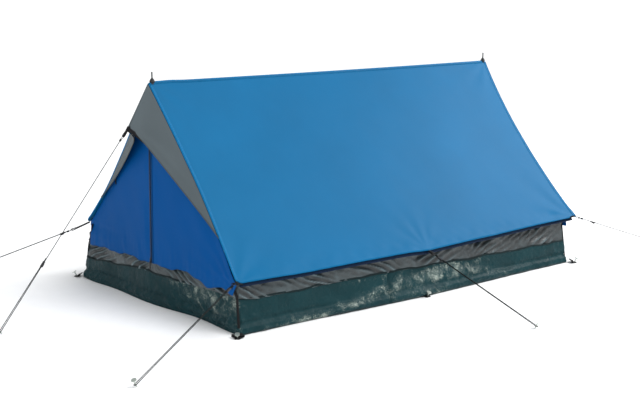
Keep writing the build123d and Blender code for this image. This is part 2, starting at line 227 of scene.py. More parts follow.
def curve_points(points, steps=8):
    """A smooth line through points (Catmull-Rom)."""
    points = [Vector(p) for p in points]
    padded = [2 * points[0] - points[1], *points, 2 * points[-1] - points[-2]]
    line = []
    for a, b, c, d in zip(padded, padded[1:], padded[2:], padded[3:]):
        for t in (i / steps for i in range(steps)):
            square, cube = 2 * a - 5 * b + 4 * c - d, 3 * b - a - 3 * c + d
            line.append(0.5 * ((2 * b) + (c - a) * t + square * t**2 + cube * t**3))
    return line + [points[-1]]


def join_meshes(name, pieces, material, body=TENT):
    """One object from several lists of vertices and faces."""
    verts, faces = [], []
    for more_verts, more_faces in pieces:
        start = len(verts)
        verts += list(more_verts)
        faces += [tuple(start + i for i in f) for f in more_faces]
    return new_object(name, mesh_from(name, verts, faces), material, body)


# ------------------------------------------------------------------ materials
class Nodes:
    """A short way to write a material's node tree."""

    def __init__(self, name):
        self.material = bpy.data.materials.new(name)
        self.material.use_nodes = True
        self.tree = self.material.node_tree
        self.shader = self.tree.nodes["Principled BSDF"]

    def add(self, kind, links=None, **settings):
        """A node with its sockets linked, and its settings and constant sockets set."""
        node = self.tree.nodes.new(kind)
        for key, value in settings.items():
            if hasattr(node, key):
                setattr(node, key, value)
            else:
                node.inputs[key].default_value = value
        for key, source in (links or {}).items():
            self.tree.links.new(source, node.inputs[key])
        return node

    def times(self, a, b):
        return self.math("MULTIPLY", a, b)

    def plus(self, a, b):
        return self.math("ADD", a, b)

    def math(self, operation, *values):
        node = self.add("ShaderNodeMath", operation=operation)
        for socket, value in zip(node.inputs, values):
            if isinstance(value, (int, float)):
                socket.default_value = value
            else:
                self.tree.links.new(value, socket)
        return node.outputs[0]

    def ramp(self, factor, stops):
        node = self.add("ShaderNodeValToRGB", {0: factor})
        elements = node.color_ramp.elements
        while len(elements) < len(stops):
            elements.new(0.5)
        for element, (place, color) in zip(elements, stops):
            element.position = place
            element.color = (*color, 1)
        return node.outputs[0]

    def noise(self, vector, scale, detail=4.0, roughness=0.55, distortion=0.0):
        node = self.add(
            "ShaderNodeTexNoise", {"Vector": vector},
            Scale=scale, Detail=detail, Roughness=roughness, Distortion=distortion,
        )
        return node.outputs["Fac"]

    def bands(self, vector, scale, distortion, **settings):
        node = self.add(
            "ShaderNodeTexWave", {"Vector": vector}, wave_type="BANDS", bands_direction="DIAGONAL",
            Scale=scale, Distortion=distortion, **settings,
        )
        return node.outputs["Fac"]

    def bump(self, height, strength, distance, normal=None):
        links = {"Height": height}
        if normal is not None:
            links["Normal"] = normal
        return self.add("ShaderNodeBump", links, Strength=strength, Distance=distance).outputs["Normal"]

    def mix(self, mask, base, color):
        node = self.add("ShaderNodeMix", data_type="RGBA")
        node.inputs[7].default_value = (*color, 1)
        self.tree.links.new(mask, node.inputs[0])
        self.tree.links.new(base, node.inputs[6])
        return node.outputs[2]

    def place(self):
        return self.add("ShaderNodeTexCoord").outputs["Object"]

    def cloth_xy(self):
        """The distances along and across the sheet, in metres."""
        uv = self.add("ShaderNodeUVMap", uv_map="cloth").outputs["UV"]
        split = self.add("ShaderNodeSeparateXYZ", {"Vector": uv})
        return split.outputs["X"], split.outputs["Y"]

    def cells(self, pitch):
        """A square net of threads at a pitch: 0 along each thread, 1 in the middle of each cell."""
        waves = [self.math("SINE", self.times(axis, PI / pitch)) for axis in self.cloth_xy()]
        return self.times(*(self.math("ABSOLUTE", wave) for wave in waves))

    def done(self, base, normal, **constants):
        """Link the colour and the normal, set the shader's constants, and return the material."""
        self.link(base, "Base Color")
        self.link(normal, "Normal")
        for key, value in constants.items():
            self.shader.inputs[key.replace("_", " ")].default_value = value
        return self.material

    def link(self, output, socket):
        self.tree.links.new(output, self.shader.inputs[socket])


def linear(r, g, b):
    """An 8-bit sRGB colour as linear values."""
    return tuple(((c / 255 + 0.055) / 1.055) ** 2.4 for c in (r, g, b))


def shade(color, factor):
    return tuple(min(1.0, c * factor) for c in color)


STITCH_HALF_WIDTH, STITCH_PITCH, STITCH_SHARE = 0.0011, 0.0055, 0.68


def woven(name, color, rough=0.52, stitches=(), specular=0.12):
    """Coated polyester: a fine plain weave, faint colour variation and dashed lines of stitching.

    stitches lists the distances across the sheet, in metres of its UV map, at which the lines run.
    """
    thread = 0.0009
    n = Nodes(name)
    x, y = n.cloth_xy()
    warp, weft = (n.math("SINE", n.times(axis, 2 * PI / thread)) for axis in (x, y))
    weave = n.times(warp, weft)
    place = n.place()
    cloud = n.noise(place, 2.3, 5.0)
    fine = n.noise(place, 420.0, 2.0)
    mixed = n.plus(n.times(cloud, 0.75), n.times(fine, 0.25))
    base = n.ramp(mixed, [(0.25, shade(color, 0.88)), (0.55, color), (0.8, shade(color, 1.12))])
    height = n.plus(n.times(weave, 0.5), n.times(fine, 0.6))
    normal = n.bump(height, 0.25, 0.0002)
    slack = n.noise(place, 9.0, 3.0, 0.5, 0.6)
    normal = n.bump(slack, 0.18, 0.004, normal)
    for at in stitches:
        off = n.math("ABSOLUTE", n.math("SUBTRACT", y, at))
        dash = n.math("FRACT", n.times(x, 1 / STITCH_PITCH))
        near = n.math("LESS_THAN", off, STITCH_HALF_WIDTH)
        mask = n.times(near, n.math("LESS_THAN", dash, STITCH_SHARE))
        base = n.mix(mask, base, shade(color, 0.45))
        normal = n.bump(mask, 0.5, 0.0006, normal)
    return n.done(base, normal, Roughness=rough, Specular_IOR_Level=specular)


def tarpaulin(name, color):
    """Laminated woven polyethylene: shiny, with a visible tape weave and small hard creases."""
    n = Nodes(name)
    weave = n.cells(0.0024)
    place = n.place()
    cloud = n.noise(place, 5.0, 6.0, 0.6, 0.4)
    base = n.ramp(cloud, [(0.25, shade(color, 0.72)), (0.55, color), (0.8, shade(color, 1.35))])
    # painted glints: where the sheet is crumpled, pale specks are painted into its colour to stand for glints
    shine = n.add("ShaderNodeAttribute", attribute_name="shine").outputs["Fac"]
    squash, tilt = (1.0, 1.0, 2.6), (0.35, 0.35, 0.0)
    flattened = n.add("ShaderNodeMapping", {"Vector": place}, Scale=squash, Rotation=tilt)
    speck = n.noise(flattened.outputs["Vector"], 135.0, 8.0, 0.88, 1.4)
    patch = n.noise(place, 20.0, 3.0, 0.6, 0.5)
    level = n.plus(n.times(patch, 0.40), n.times(shine, 0.14))
    level = n.math("SUBTRACT", n.plus(speck, level), 0.20)
    mask = n.ramp(level, [(0.66, (0, 0, 0)), (0.755, (1, 1, 1))])
    painted_glint = n.times(mask, n.math("MINIMUM", n.times(shine, 2.5), 1.0))
    base = n.mix(painted_glint, base, (0.44, 0.49, 0.43))
    creased = n.add("ShaderNodeTexVoronoi", {"Vector": place}, feature="DISTANCE_TO_EDGE", Scale=26.0)
    crumple = n.noise(place, 30.0, 8.0, 0.68, 0.9)
    small = n.noise(place, 95.0, 5.0, 0.6, 0.5)
    normal = n.bump(weave, 0.3, 0.0003)
    normal = n.bump(small, 0.28, 0.0025, normal)
    normal = n.bump(crumple, 0.42, 0.010, normal)
    normal = n.bump(creased.outputs["Distance"], 0.25, 0.004, normal)
    n.link(n.ramp(cloud, [(0.3, (0.20,) * 3), (0.7, (0.36,) * 3)]), "Roughness")
    return n.done(base, normal, Specular_IOR_Level=0.06)


def netting(name, color):
    """Fine ventilation mesh: small dark holes between slightly shiny threads."""
    n = Nodes(name)
    holes = n.cells(0.0016)
    cloud = n.noise(n.place(), 14.0, 6.0, 0.62, 0.5)
    # painted light: the mesh is painted paler on its folds as highlights, and darker in the hollows between
    # them and near the top as shade
    fold = n.add("ShaderNodeAttribute", attribute_name="shine").outputs["Fac"]
    both = n.plus(n.times(holes, -0.20), n.times(cloud, 0.45))
    both = n.plus(both, n.times(fold, 0.85))
    tones = ((0.15, 0.18), (0.45, 0.75), (0.75, 1.7), (1.0, 4.0))
    base = n.ramp(both, [(at, shade(color, factor)) for at, factor in tones])
    normal = n.bump(cloud, 0.35, 0.012, n.bump(holes, 0.4, 0.0005))
    return n.done(base, normal, Roughness=0.36, Specular_IOR_Level=0.6)


def strap(name, color):
    """Woven webbing: ribs across its length and a slight sheen."""
    rib = 0.0012
    n = Nodes(name)
    place = n.place()
    ribs = n.bands(place, 0.05 / rib, 1.2)
    height = n.plus(ribs, n.times(n.noise(place, 900.0, 3.0), 0.5))
    base = n.ramp(height, [(0.2, shade(color, 0.6)), (0.9, shade(color, 1.5))])
    return n.done(base, n.bump(height, 0.5, 0.0005), Roughness=0.7, Specular_IOR_Level=0.2)


def braided(name, color):
    """Braided cord: slanting strands with lighter flecks."""
    n = Nodes(name)
    place = n.place()
    strands = n.bands(place, 95.0, 2.0, Detail=2.0)
    height = n.plus(strands, n.times(n.noise(place, 700.0, 2.0), 0.4))
    base = n.ramp(height, [(0.25, shade(color, 0.5)), (0.75, color), (1.0, shade(color, 2.2))])
    return n.done(base, n.bump(height, 0.7, 0.0008), Roughness=0.62, Specular_IOR_Level=0.12)


def plain(name, color, rough, metal=0.0, grain=300.0, depth=0.0002, variation=0.15, stretch=(1, 1, 1)):
    """Moulded plastic, rubber or metal: a fine surface grain, handling marks and slight colour variation."""
    n = Nodes(name)
    place = n.place()
    mapped = n.add("ShaderNodeMapping", {"Vector": place}, Scale=stretch)
    fine = n.noise(mapped.outputs["Vector"], grain, 4.0)
    cloud = n.noise(place, 18.0, 5.0, 0.6)
    base = n.ramp(cloud, [(0.3, shade(color, 1 - variation)), (0.7, shade(color, 1 + variation))])
    worn = n.plus(n.times(cloud, 0.22), n.times(fine, 0.12))
    n.link(n.plus(worn, rough - 0.17), "Roughness")
    return n.done(base, n.bump(fine, 0.35, depth), Metallic=metal)


BLUE = (0.000, 0.109, 0.254)
DOOR_BLUE = (0.000, 0.071, 0.266)
roof_cloth = woven("roof_cloth", BLUE, rough=0.5, specular=0.09)
# painted shade: the eave hem is near black navy, far darker than the roof cloth, to stand for the shade under
# the eave
hem_shade_cloth = woven("hem_shade_cloth", (0.004, 0.016, 0.045), rough=0.55, stitches=(0.004, 0.018))
# painted highlights: the end hems and beads are lighter copies of the roof blue, standing for light caught
# along the roof's front and rear edges
lit_edge_cloth = woven("lit_edge_cloth", shade(BLUE, 1.35), rough=0.5, stitches=(0.003, 0.0095))
lit_piping_cloth = woven("lit_piping_cloth", shade(BLUE, 1.6), rough=0.5)
# painted highlight: the ridge seam is a slightly lighter copy of the roof blue so that the ridge reads lit
lit_seam_cloth = woven("lit_seam_cloth", shade(BLUE, 1.1), rough=0.5, stitches=(0.004, 0.022))
door_cloth = woven("door_cloth", DOOR_BLUE, rough=0.55, specular=0.05)
seam_tape = woven("seam_tape", (0.006, 0.016, 0.018), rough=0.6)
awning_trim = woven("awning_trim", linear(70, 76, 78), rough=0.55)
awning_cloth = woven("awning_cloth", (0.092, 0.113, 0.123), rough=0.5)
tub_sheet = tarpaulin("tub_sheet", (0.009, 0.036, 0.042))
mesh_cloth = netting("mesh_cloth", (0.037, 0.056, 0.062))
webbing = strap("webbing", (0.006, 0.006, 0.007))
rope_cord = braided("rope_cord", (0.004, 0.006, 0.006))
black_plastic = plain("black_plastic", (0.008, 0.008, 0.009), 0.42)
black_rubber = plain("black_rubber", (0.008, 0.009, 0.010), 0.68, grain=500.0)
zip_cloth = woven("zip_cloth", (0.000, 0.045, 0.160), rough=0.6)
zip_coil = plain("zip_coil", (0.004, 0.008, 0.016), 0.45)
zip_metal = plain("zip_metal", linear(30, 30, 32), 0.35, metal=0.6)
pole_steel = plain("pole_steel", linear(176, 178, 180), 0.3, metal=1.0, grain=900.0, stretch=(1, 1, 0.03))
spike_steel = plain("spike_steel", (0.06, 0.065, 0.065), 0.45, metal=1.0, grain=700.0)
peg_steel = plain("peg_steel", (0.50, 0.55, 0.50), 0.34, metal=1.0, grain=700.0)


# ------------------------------------------------------------------ roof
SLOPE = Vector((0.758, 0, 0.652))  # outward normal of the right slope


def eave_line(t):
    """The right eave, for t from -1 (front) to 1 (rear): two runs that meet at the middle guy."""
    away = np.abs(t)
    sag = 4 * away * (1 - away)
    x = EAVE_MIDDLE.x + (EAVE_CORNER.x - 0.004 - EAVE_MIDDLE.x) * away - 0.005 * sag
    y = EAVE_CORNER.y * t
    z = EAVE_MIDDLE.z + (EAVE_CORNER.z + 0.002 - EAVE_MIDDLE.z) * away + 0.003 * sag
    y = y + 0.024 * smooth(0.955, 1.0, t)
    return x, y, z


def roof_base(side, down, t):
    """A point of one slope: down from 0 at the ridge to 1 at the eave, t from -1 (front) to 1 (rear)."""
    # the two front corners are cut round, 30 mm in radius
    ahead = np.clip((-t - 0.970) / 0.030, 0, 1)
    below = np.clip((down - 0.968) / 0.032, 0, 1)
    rounding = ahead * below
    t = t + 0.030 * ahead * (1 - np.sqrt(1 - below**2 / 2))
    down = down - 0.032 * below * (1 - np.sqrt(1 - ahead**2 / 2))
    ex, ey, ez = eave_line(t)
    ry = (RIDGE_END + 0.002) * t
    end = np.abs(t)
    ridge_sag = 0.006 * smooth(0.975, 1.0, end) + 0.004 * (1 - t**2) - 0.0025 * bump(-0.9, 0.05, t)
    rz = RIDGE + 0.0012 - ridge_sag
    x = ex * down
    y = ry + (ey - ry) * down
    z = rz + (ez - rz) * down
    # both ends are cut in a hollow curve, and the slopes hang in between the ridge and the eave
    hollow = np.clip(np.sin(PI * np.clip(down, 0, 1)), 0, 1) ** 0.8
    front_hollow = np.where(side < 0, 0.008, 0.030)
    y = y + front_hollow * hollow * smooth(0.35, 1.0, -t) - 0.030 * hollow * smooth(0.35, 1.0, t)
    inward = 0.022 * hollow * (0.35 + 0.65 * smooth(0.2, 1.0, end))
    # the tent is pitched a little unevenly: its front left corner stands higher and further in
    lopsided = (side < 0) * smooth(-0.35, 1.0, -t)
    away = lopsided * smooth(0.25, 1.0, down)
    x = x - 0.050 * away
    y = y + 0.012 * away * smooth(0.8, 1.0, -t)
    z = z + 0.032 * away
    inward = inward + 0.010 * lopsided * hollow
    # the right eave hangs a little lower towards the front
    droop = 0.018 * smooth(0.05, 0.75, -t) + 0.007 * smooth(0.0, 0.45, t)
    z = z - (side > 0) * droop * smooth(0.5, 1.0, down)
    # folds fan out from the corners, the middle guys and the pole heads
    fan = np.zeros_like(x)
    for ct, cd, reach, folds, depth in (
        (-1.0, 1.0, 0.24, 9, 0.0026),
        (1.0, 1.0, 0.30, 9, 0.0024),
        (0.0, 1.0, 0.16, 11, 0.0016),
        (-1.0, 0.0, 0.22, 10, 0.0014),
        (1.0, 0.0, 0.22, 10, 0.0014),
    ):
        dy, dd = t - ct, (down - cd) * 0.94
        far = np.hypot(dy, dd)
        fade = bump(0.0, reach, far) * smooth(0.0, 0.12, far)
        fan += depth * np.cos(folds * np.arctan2(dd, dy) + 3 * side + ct) * fade
    fan += 0.0010 * ripples(y, down * 0.94, 11, longest=0.7, shortest=0.12) * smooth(0, 0.08, down)
    fan += 0.0030 * bump(0.0, 0.0035, t) * smooth(0.90, 1.0, down)  # a pinched seam above each middle guy
    near_eave = smooth(0.88, 0.99, down) * (1 - rounding)
    fan += 0.0016 * ripples(y, down, 13, longest=0.16, shortest=0.05) * near_eave
    offset = fan - inward
    return side * (x + SLOPE.x * offset), y, z + SLOPE.z * offset


def roof_place(u, v):
    """The whole roof: u runs from the left eave over the ridge to the right eave, v from front to rear."""
    s = 2 * u - 1
    return roof_base(np.where(s < 0, -1.0, 1.0), np.abs(s), 2 * v - 1)


roof = cloth("roof", roof_place, (1.888, 2.04), 0.0095, roof_cloth, thickness=0.0008, offset=-1.0)
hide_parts("roof_left", "roof_right")


def ridge_seam_place(u, v):
    """The two slopes are felled together along the top; the seam is a slightly lighter blue than the roof, a
    painted highlight.
    """
    t = (2 * u - 1) * 0.9985
    across = 2 * v - 1
    x, y, z = roof_base(np.where(across < 0, -1.0, 1.0), np.abs(across) * 0.016, t)
    raised = 0.0018 * (1 - np.abs(across) ** 6) + 0.0003 * np.sin(2 * PI * t * 170) * np.abs(across)
    return x, y, z + raised + 0.0006


ridge_seam = cloth("ridge_seam", ridge_seam_place, (2.03, 0.026), 0.0052, lit_seam_cloth, thickness=0.0007)
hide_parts("ridge_tape")


def eave_hem(side):
    """The lower edge is turned in, and its inner face hangs just below it as a band coloured far darker than
    the roof, painted shade under the eave.
    """

    def place(u, v):
        x, y, z = roof_base(side, 1.0 - 0.027 * v, (2 * u - 1) * 0.985)
        inward = 0.0030 + 0.0014 * np.sin(PI * v) + 0.0005 * np.sin(2 * PI * u * 150)
        drop = 0.015 * (1 - v) ** 1.5
        return x - side * SLOPE.x * inward - side * 0.004 * (1 - v), y, z - SLOPE.z * inward - drop

    return place


def end_hem(side, end):
    """The front or rear edge, turned over once and stitched, in a lighter blue as a painted highlight."""
    width, lift = 0.0105, 0.0007
    start = 0.989 if end > 0 else -0.9995

    def place(u, v):
        x, y, z = roof_base(side, 0.012 + 0.980 * u, start + width * v)
        return x + side * SLOPE.x * lift, y, z + SLOPE.z * lift

    return place


def end_bead(side, end):
    """The very edge, rolled over into a soft bead, in a still lighter blue as a painted highlight."""

    def place(u, v):
        x, y, z = roof_base(side, 0.006 + 0.988 * u, np.full_like(u, end))
        turn = 2 * PI * v
        return x + side * 0.0022 * np.cos(turn), y + 0.0020 * np.sin(turn), z + 0.0022 * np.cos(turn)

    return place


for side, word in SIDES:
    hem = cloth(f"eave_hem_band_{word}", eave_hem(side), (2.03, 0.034), 0.006, hem_shade_cloth, thickness=0.0010)
    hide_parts(f"eave_hem_{word}")
    for end, end_word in ((-1.0, "front"), (1.0, "rear")):
        name = f"{end_word}_edge_hem_{word}"
        hem = cloth(name, end_hem(side, end), (0.92, 0.012), 0.004, lit_edge_cloth, thickness=0.0007)
        name = f"{end_word}_edge_bead_{word}"
        bead = cloth(name, end_bead(side, end), (0.92, 0.014), 0.0035, lit_piping_cloth, thickness=0)


# ------------------------------------------------------------------ front and rear
DOWN = np.linspace(0.0, 1.0, 120)


def roof_end_edge(side, end):
    """The roof's cut edge at one end as arrays of height, half width and y, from the eave up."""
    x, y, z = roof_base(side, DOWN, np.full_like(DOWN, float(end)))
    order = np.argsort(z)
    return z[order], np.abs(x[order]), y[order]


def end_cloth(side, end):
    """A function from a share of the half width and a height to a point of an end wall.

    The wall is sewn to the roof's edge, and below the eave it hangs straight down to the tub.
    """
    edge_z, edge_x, edge_y = roof_end_edge(side, end)
    eave_z = edge_z[0]

    def place(share, z):
        wall_x = HALF_W - WALL_LEAN_SIDE * z - 0.004 - 0.038 * (side < 0) * (end < 0)
        reach = 0.02 if end < 0 else 0.06
        below = smooth(0.0, 0.07, eave_z + reach - z)
        corner_x = np.interp(np.maximum(z, eave_z), edge_z, edge_x) - 0.0022
        half = corner_x + (np.minimum(wall_x, corner_x) - corner_x) * below
        recess = 0.001 + 0.012 * (side < 0) * (end < 0) * smooth(0.62, 0.42, z)
        back = np.interp(np.maximum(z, eave_z), edge_z, edge_y) - end * (DOOR_FACE + recess)
        back = back * (1 - 0.7 * below)
        x = half * share
        y = end * DOOR_FACE + back * share**2.2
        return side * x, y, half

    return place


def hem_z(x):
    """The door's lower edge, from side to side."""
    away = np.abs(x)
    scallop = 0.004 * np.sin(2 * PI * x / 0.21 + 0.9) + 0.002 * np.sin(2 * PI * x / 0.083)
    notch = 0.026 * bump(0.42, 0.05, x) - 0.010 * bump(0.24, 0.10, x)
    return SILL - 0.005 - 0.010 * smooth(0.1, 0.5, away) * (x < 0) - notch + scallop * smooth(0.0, 0.06, away)


def door(side):
    """A door leaf and the panel beside it, from the zip to the roof's edge and from the hem to the apex."""
    wall = end_cloth(side, -1)

    def place(u, v):
        z0 = SILL + (END_TOP - SILL) * v
        share = 0.0016 + (1 - 0.0016) * u
        _, _, half = wall(share, z0)
        x0 = half * share
        low = (1 - v) ** 5
        z = z0 + (hem_z(side * x0) - SILL) * low - 0.016 * low * smooth(0.85, 1.0, u) * (side > 0)
        x, y, _ = wall(share, z0)
        x = side * np.maximum(np.abs(x), 0.0012)
        slack = np.minimum(smooth(0.014, 0.05, np.abs(x)), smooth(0.0, 0.10, 1 - u))
        slack = slack * smooth(0.0, 0.1, 1 - v)
        soft = 0.0030 * ripples(x, z, 5, longest=0.5, shortest=0.12)
        near_corner = bump(0.0, 0.35, np.hypot(np.abs(x) - 0.6, z - 0.2))
        pulls = 0.0012 * np.cos(26 * np.arctan2(z - 0.15, 0.62 - np.abs(x))) * near_corner
        near_hem = 1 - smooth(0.0, 0.22, v)
        gathered = 0.0009 * ripples(x * 1.6, z * 0.5, 21, longest=0.10, shortest=0.03) * near_hem
        return x, y - (soft + pulls + gathered) * slack, z

    return place


for side, word in SIDES:
    leaf = cloth(f"door_{word}", door(side), (0.60, 0.76), 0.0075, door_cloth, body=None)
    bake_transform(leaf)
    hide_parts(f"door_leaf_{word}", f"front_panel_{word}")

rear_walls = {side: end_cloth(side, 1) for side in (1.0, -1.0)}


def rear_place(u, v):
    z0 = SILL + (END_TOP - SILL) * v
    s = 2 * u - 1
    right = rear_walls[1.0](np.abs(s), z0)
    left = rear_walls[-1.0](np.abs(s), z0)
    x = np.where(s < 0, left[0], right[0])
    y = np.where(s < 0, left[1], right[1])
    z = z0 + (hem_z(x) - SILL) * (1 - v) ** 5
    slack = smooth(0.0, 0.05, u) * smooth(0.0, 0.05, 1 - u) * smooth(0.0, 0.1, 1 - v)
    folds = 0.0035 * ripples(x, z, 41, longest=0.45, shortest=0.08)
    near_hem = 1 - smooth(0.0, 0.25, v)
    folds += 0.0022 * ripples(x * 1.6, z * 0.5, 43, longest=0.10, shortest=0.03) * near_hem
    return x, y - (0.0035 - folds) * slack, z


rear = cloth("rear_panel", rear_place, (1.18, 0.76), 0.0095, door_cloth)
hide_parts("rear_wall")


# ------------------------------------------------------------------ tub, floor and mesh
CORNER_R = 0.014
RING_LENGTH = 2 * (2 * HALF_W + 2 * HALF_L) - (8 - 2 * PI) * CORNER_R


def ring_point(share, half_w, half_l):
    """A point share of the way round a rounded rectangle, and its outward normal.

    The way starts at the front right corner and goes along the right side first.
    """
    corner = CORNER_R
    straight_w, straight_l = 2 * (half_w - corner), 2 * (half_l - corner)
    arc = PI / 2 * corner
    run = (share % 1.0) * (2 * (straight_w + straight_l) + 4 * arc)
    x, y, nx, ny = (np.zeros_like(run) for _ in range(4))
    start = 0.0
    cx, cy = half_w - corner, half_l - corner
    legs = (
        ((half_w, -cy), (0, 1), straight_l, (1, 0), (cx, cy), 0.0),
        ((cx, half_l), (-1, 0), straight_w, (0, 1), (-cx, cy), PI / 2),
        ((-half_w, cy), (0, -1), straight_l, (-1, 0), (-cx, -cy), PI),
        ((-cx, -half_l), (1, 0), straight_w, (0, -1), (cx, -cy), 1.5 * PI),
    )
    for (px, py), (dx, dy), length, (mx, my), (ax, ay), angle in legs:
        on = (run >= start) & (run < start + length)
        d = run - start
        x, y = np.where(on, px + dx * d, x), np.where(on, py + dy * d, y)
        nx, ny = np.where(on, mx, nx), np.where(on, my, ny)
        start = start + length
        on = (run >= start) & (run <= start + arc + 1e-9)
        turn = angle + (run - start) / corner
        x, y = np.where(on, ax + corner * np.cos(turn), x), np.where(on, ay + corner * np.sin(turn), y)
        nx, ny = np.where(on, np.cos(turn), nx), np.where(on, np.sin(turn), ny)
        start = start + arc
    return x, y, nx, ny


def front_share(y, low=0.9):
    """1 at the tent's front end, 0 over the rest of its length."""
    return smooth(low, 1.0, -y / HALF_L)


def side_share(x, low=0.9):
    """1 at the tent's right side, 0 over the rest of its width."""
    return smooth(low, 1.0, x / HALF_W)


def side_bulge(y):
    """How far the middle pegs pull out the tub's long edges."""
    return 0.026 * bump(0.0, 0.5, y)


def front_dent(x):
    """How far the tub's front edge is pushed in; it is pulled out where this is negative."""
    return 0.020 * bump(0.30, 0.17, x) - 0.014 * (bump(-0.5, 0.12, x) + bump(-0.05, 0.2, x))


def rim_height(x, y):
    """The tub's rim: it sags to the rear and towards the front left corner."""
    front, right = front_share(y), side_share(x)
    at_front = -0.010 - 0.033 * smooth(-0.05, -0.52, x) + 0.014 * smooth(0.1, 0.5, x)
    at_right = -0.011 - 0.022 * smooth(-0.5, 0.8, y)
    return TUB_TOP + front * at_front + (1 - front) * (right * at_right + (1 - right) * -0.028)


def fold_height(y):
    """A fold climbs from the ground at the front of each long side to the rim's foot at its middle."""
    return 0.016 + 0.085 * smooth(-0.70, 0.05, y) * smooth(0.75, 0.1, y)


def tub_place(u, v):
    foot_x, foot_y, _, _ = ring_point(u, HALF_W, HALF_L)
    z = 0.0022 + (rim_height(foot_x, foot_y) - 0.0004) * v
    x, y, nx, ny = ring_point(u, HALF_W - WALL_LEAN_SIDE * z, HALF_L - WALL_LEAN_END * z)
    run = u * RING_LENGTH
    near_corner = bump(0.0, 0.16, np.hypot(np.abs(x) - HALF_W, np.abs(y) - HALF_L))
    front_right = front_share(y) * smooth(-0.05, 0.35, x)
    high = np.clip(z / TUB_TOP, 0, 1)
    soft = 0.006 * ripples(run, z * 1.5, 51, longest=0.55, shortest=0.12) * np.sin(PI * high)
    slanted = creases(run, z * 1.2, 53, waves=5, longest=0.20, shortest=0.05, direction=1.1, spread=1.3)
    small = creases(run, z, 57, waves=6, longest=0.07, shortest=0.012)
    # a fold runs along just above the ground
    tuck = 0.006 * bump(0.026, 0.010, z) - 0.004 * bump(0.044, 0.010, z)
    at_side = side_share(np.abs(x))
    side_fold = 0.014 * at_side / (1 + np.exp(np.clip((z - fold_height(y)) / 0.006, -30, 30)))
    pinch = -0.009 * bump(-0.20 + 0.25 * (z - 0.07), 0.007, y) * side_share(x)
    belt = 0.35 + 0.6 * bump(0.03, 0.04, z) + 0.3 * near_corner + 1.2 * front_right
    hard = (0.0070 * (slanted - 0.45) + 0.0045 * (small - 0.45)) * belt
    pinned = smooth(0.0, 0.012, z) * 0.85 + 0.15
    foot_shift = side_bulge(y) * at_side - front_dent(x) * front_share(y)
    out = soft + (hard + tuck + side_fold + pinch) * pinned + foot_shift * (1 - high) ** 1.3
    x = x + 0.009 * smooth(-0.35, -0.57, x) * smooth(0.6, 0.98, -y / HALF_L)
    rim = 0.0035 * ripples(run, 0, 61, longest=0.3, shortest=0.07) * smooth(0.6, 1.0, v)
    foot = 0.0014 * creases(run, 0, 63, longest=0.11, shortest=0.03) * (1 - smooth(0.0, 0.1, v))
    return x + nx * out, y + ny * out, z + rim + foot


def tub_shine(u, v):
    """How strongly glints are painted into the tub's colour, from 0 to 1: most where the sheet is crumpled
    finely.
    """
    x, y, z = tub_place(u, v)
    at_front = front_share(y, 0.95)
    front_right = at_front * smooth(0.0, 0.25, x) * (0.45 + 0.55 * smooth(0.02, 0.12, z))
    at_side = side_share(np.abs(x), 0.95)
    on_fold = bump(0.012, 0.022, fold_height(y) - z) * smooth(-1.0, -0.7, y) * smooth(0.75, 0.2, y)
    middle = smooth(-0.35, -0.1, y) * smooth(0.35, 0.1, y)
    under_fold = 0.5 * smooth(0.0, 0.03, fold_height(y) - z) * middle
    rim = bump(0.012, 0.016, rim_height(x, y) - z) * smooth(-0.62, -0.45, y) * smooth(0.9, 0.1, y)
    left = at_front * smooth(-0.1, -0.5, x) * 0.25
    side = at_side * (0.9 * on_fold + under_fold + rim + 0.12)
    return np.clip(front_right + side + left + 0.05, 0, 1)


def ring_sheet(name, place, width, step_u, step_v, material, shine=None):
    """A closed ring of cloth round the tent. shine(u, v) gives its material a value from 0 to 1, which the
    tub's and the mesh's materials turn into painted light.
    """
    nu, nv = round(RING_LENGTH / step_u), round(width / step_v) + 1
    u, v = np.meshgrid(np.arange(nu) / nu, np.linspace(0, 1, nv), indexing="ij")
    points = np.stack(place(u, v), -1).reshape(-1, 3)
    index = np.arange(nu * nv).reshape(nu, nv)
    after = np.roll(index, -1, axis=0)
    faces = np.stack([index[:, :-1], after[:, :-1], after[:, 1:], index[:, 1:]], -1).reshape(-1, 4)
    mesh = mesh_from(name, points, faces.tolist())
    along = np.stack([u, u + 1 / nu, u + 1 / nu, u], -1)[:, :-1].reshape(-1) * RING_LENGTH
    up = np.stack([v[:, :-1], v[:, :-1], v[:, 1:], v[:, 1:]], -1).reshape(-1) * width
    set_uvs(mesh, along, up)
    if shine is not None:
        values = shine(u, v).astype(np.float32).ravel()
        mesh.attributes.new("shine", "FLOAT", "POINT").data.foreach_set("value", values)
    return new_object(name, mesh, material)


tub = ring_sheet("tub_walls", tub_place, 0.15, 0.0052, 0.0042, tub_sheet, tub_shine)
thicken(tub, 0.0008, -1.0)
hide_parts("tub_wall_front", "tub_wall_rear", "tub_wall_left", "tub_wall_right")


def rim_seam_place(u, v):
    """The bound seam between the tub and the mesh."""
    x, y, z = tub_place(u, 0.955 + 0.055 * v)
    away = np.hypot(x, y)
    return x + 0.0014 * x / away + 0.0006 * np.sign(x), y + 0.0014 * y / away + 0.0006 * np.sign(y), z


rim_seam = ring_sheet("tub_rim_seam", rim_seam_place, 0.008, 0.0052, 0.0027, seam_tape)
thicken(rim_seam, 0.0008, 0.0)


def floor_place(u, v):
    x0 = (2 * u - 1) * (HALF_W + 0.0005)
    y0 = (2 * v - 1) * (HALF_L + 0.0005)
    inset = np.minimum(HALF_W - np.abs(x0), HALF_L - np.abs(y0))
    near_edge = 1 - smooth(0.0, 0.3, inset)
    side_out = side_bulge(y0) * np.sign(x0) * side_share(np.abs(x0), 0.4)
    front_in = front_dent(x0) * front_share(y0, 0.6)
    lift = 0.0045 * creases(x0, y0, 71, longest=0.35, shortest=0.06) * smooth(0.0, 0.06, inset)
    return x0 + side_out, y0 + front_in * near_edge, 0.0014 + lift


floor_cloth = cloth("tub_floor", floor_place, (1.2, 2.0), 0.016, tub_sheet, thickness=0.0012)
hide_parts("groundsheet")


